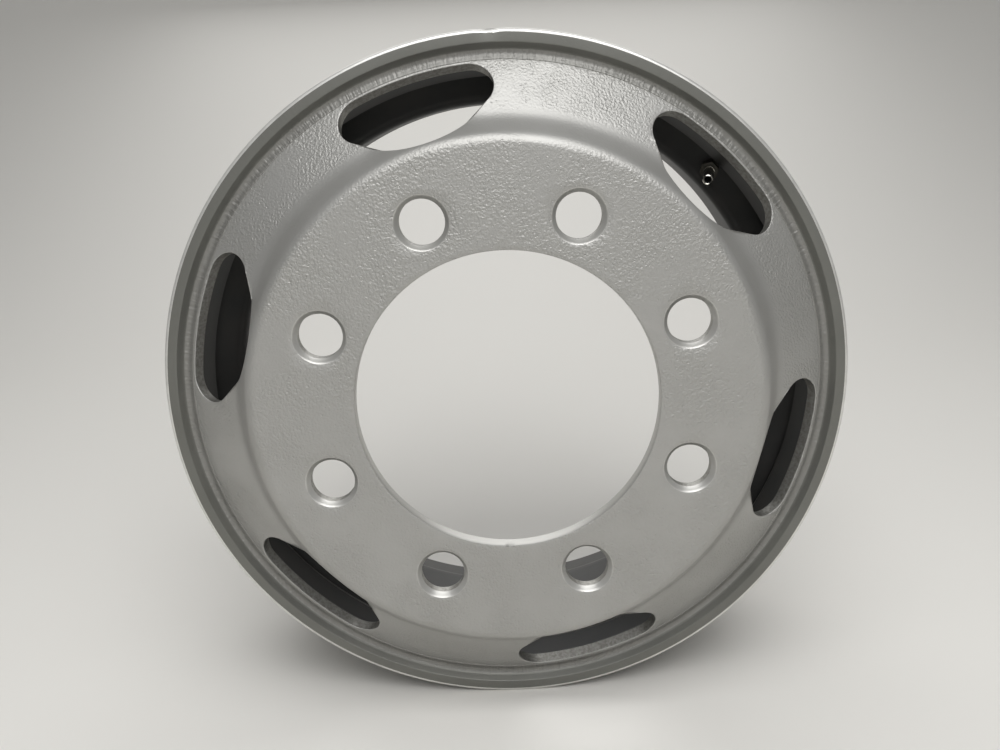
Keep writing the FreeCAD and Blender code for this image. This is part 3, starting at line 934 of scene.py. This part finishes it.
        chain = LoopChain(mesh, ring(self.bore + self.bore_chamfer, -self.nave_wall, 0.0))
        out, back = self.bore_break
        chain.pull(ring(self.bore + out, -self.nave_wall + back, self.nick_depth), Coat.FRONT)
        chain.pull(ring(self.bore, -self.nave_wall + self.bore_chamfer, self.nick_depth), Coat.SMOOTH)
        chain.pull(ring(self.bore, -self.nave_wall * 0.5, 0.0), Coat.SMOOTH)
        chain.pull(ring(self.bore, -self.edge_break, 0.0), Coat.SMOOTH)
        chain.pull(ring(self.bore + self.edge_break, 0.0, 0.0), Coat.BACK)

    def turn_skirt(self, mesh: bmesh.types.BMesh) -> None:
        """Turn the bend and the skirt, from the front crest round to the back one."""
        paths = []
        for path in (self.front, self.back):
            radius = self.crest_radius(path)
            count = len(self.climb(path))
            start = next(index for index in range(count) if path[index][0] > radius)
            depth = float(self.depth_at(path, np.array([radius]))[0])
            paths.append([(radius, depth)] + path[start:])
        spin_section(mesh, paths[0], closed=False)
        spin_section(mesh, paths[0][-1:] + paths[1][::-1], closed=False, material=Coat.BACK)

    def build(self) -> bpy.types.Object:
        """Make the disc.

        Returns:
            The disc's object.
        """
        mesh = bmesh.new()
        for index in range(self.hole_count):
            self.cut_hand_hole(mesh, self.hole_angle + 360 / self.hole_count * index)
        for index in range(self.bolt_count):
            self.cut_bolt_hole(mesh, self.bolt_angle + 360 / self.bolt_count * index)
        self.cut_bore(mesh)
        self.turn_skirt(mesh)
        piece = new_piece("pressed_disc", mesh, "disc", slot="silver_paint")
        finishes = self.finishes
        for finish in (finishes.silver, finishes.sheared, finishes.old_paint_and_crevice_shade, finishes.smooth):
            piece.data.materials.append(finishes.get(finish))
        return piece


@dataclass
class Valve:
    """Tyre valve, shown by its CAD pieces with their finishes, its bore painted matt black as painted shade.
    """

    finishes: Finishes
    radius: float = 227.0
    angle: float = 46.2
    depth: float = 81.57
    lean: float = 20.0
    bore: float = 2.7

    def paint_bore_shade(self, stem: bpy.types.Object) -> None:
        """Paint the faces inside the stem matt black, as painted shade in its empty mouth.

        Args:
            stem: The valve's metal body.
        """
        turn, lean = math.radians(self.angle), math.radians(self.lean)
        start = round_axle(self.radius, self.depth, self.angle)
        along = -Vector((math.sin(lean) * math.sin(turn), math.cos(lean), math.sin(lean) * math.cos(turn)))
        # Matt black on the bore's faces is painted shade
        stem.data.materials.append(self.finishes.get(self.finishes.rubber_and_bore_shade))
        for face in stem.data.polygons:
            away = stem.matrix_world @ face.center - start
            if (away - along * away.dot(along)).length < mm(self.bore):
                face.material_index = 1

    def build(self) -> None:
        """Dress the valve's pieces."""
        finishes = self.finishes
        for node, finish in (("valve_stem", finishes.plated), ("valve_nut", finishes.darkened),
                             ("valve_washer", finishes.darkened), ("valve_grommet", finishes.rubber_and_bore_shade)):
            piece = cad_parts[node]
            piece.data.materials.clear()
            piece.data.materials.append(finishes.get(finish))
            log.info("%s dressed", node)
        self.paint_bore_shade(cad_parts["valve_stem"])


@dataclass
class Weld:
    """Weld bead between skirt and rim."""

    finishes: Finishes

    def build(self) -> None:
        """Dress the weld."""
        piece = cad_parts["disc_weld"]
        piece.data.materials.clear()
        piece.data.materials.append(self.finishes.get(self.finishes.old_paint_and_crevice_shade))


# Stage

@dataclass
class Studio:
    """Pale floor, soft light and the photograph's camera."""

    floor_reach: float = 7.0
    sweep_start: float = 1.2
    sweep_radius: float = 1.6
    wall_height: float = 5.0
    floor_colour: str = "#e4e2dd"
    world_colour: str = "#d8d9da"
    world_strength: float = 0.30
    lens: float = 35.05
    sensor: float = 36.0
    camera_place: tuple[float, float, float] = (-2.6, -686.0, 194.9)
    camera_forward: tuple[float, float, float] = (-0.0033, 0.9685, -0.2490)
    camera_right: tuple[float, float, float] = (0.9991, -0.0073, -0.0419)

    def lay_floor(self) -> None:
        """Put a floor under the wheel, swept up behind it into a backdrop."""
        ground = CAD_BOX[0].z
        bends = [math.pi / 2 * step / 24 for step in range(25)]
        profile = [(-self.floor_reach, ground)]
        profile += [(self.sweep_start + self.sweep_radius * math.sin(bend),
                     ground + self.sweep_radius * (1 - math.cos(bend))) for bend in bends]
        profile.append((self.sweep_start + self.sweep_radius, ground + self.wall_height))
        mesh = bmesh.new()
        verts = [mesh.verts.new((-self.floor_reach, y, z)) for y, z in profile]
        edges = [mesh.edges.new(pair) for pair in zip(verts, verts[1:])]
        made = bmesh.ops.extrude_edge_only(mesh, edges=edges)["geom"]
        fresh = [item for item in made if isinstance(item, bmesh.types.BMVert)]
        bmesh.ops.translate(mesh, verts=fresh, vec=(2 * self.floor_reach, 0, 0))
        bmesh.ops.recalc_face_normals(mesh, faces=mesh.faces)
        data = bpy.data.meshes.new("floor")
        mesh.to_mesh(data)
        mesh.free()
        data.shade_smooth()
        floor = bpy.data.objects.new("floor", data)
        bpy.context.scene.collection.objects.link(floor)
        material = bpy.data.materials.new("pale matt floor")
        material.use_nodes = True
        shader = material.node_tree.nodes["Principled BSDF"]
        shader.inputs["Base Color"].default_value = linear(self.floor_colour)
        shader.inputs["Roughness"].default_value = 0.85
        data.materials.append(material)

    def light(self) -> None:
        """Soft light from above and in front, and an even grey room."""
        for name, place, size, power in (
            ("overhead", (0.1, -1.0, 1.5), 1.7, 31.0),
            ("front_fill", (0.2, -3.0, 1.8), 2.4, 15.0),
            ("rear_fill", (0.0, 1.9, 1.5), 2.0, 20.0),
        ):
            lamp = bpy.data.lights.new(name, "AREA")
            lamp.energy = power
            lamp.size = size
            holder = bpy.data.objects.new(name, lamp)
            holder.location = place
            holder.rotation_euler = (-Vector(place)).to_track_quat("-Z", "Y").to_euler()
            holder.visible_camera = False
            bpy.context.scene.collection.objects.link(holder)
        world = bpy.data.worlds.new("grey room")
        world.use_nodes = True
        background = world.node_tree.nodes["Background"]
        background.inputs["Color"].default_value = linear(self.world_colour)
        background.inputs["Strength"].default_value = self.world_strength
        bpy.context.scene.world = world

    def set_camera(self) -> None:
        """Put the camera where the photograph was taken."""
        data = bpy.data.cameras.new("camera")
        data.lens = self.lens
        data.sensor_width = self.sensor
        holder = bpy.data.objects.new("camera", data)
        bpy.context.scene.collection.objects.link(holder)
        back = -Vector(self.camera_forward).normalized()
        upward = back.cross(Vector(self.camera_right)).normalized()
        right = upward.cross(back)
        turn = Matrix((right, upward, back)).transposed().to_4x4()
        holder.matrix_world = Matrix.Translation(Vector(self.camera_place) * METRES_PER_MM) @ turn
        bpy.context.scene.camera = holder

    def build(self) -> None:
        """Set the stage."""
        self.lay_floor()
        self.light()
        self.set_camera()
        bpy.context.scene.view_settings.view_transform = "Standard"


def main() -> None:
    """Build the wheel and its stage."""
    logging.basicConfig(level=logging.INFO)
    finishes = Finishes()
    Rim(finishes).build()
    Disc(finishes).build()
    Weld(finishes).build()
    Valve(finishes).build()
    Studio().build()


if __name__ == "__main__":
    main()
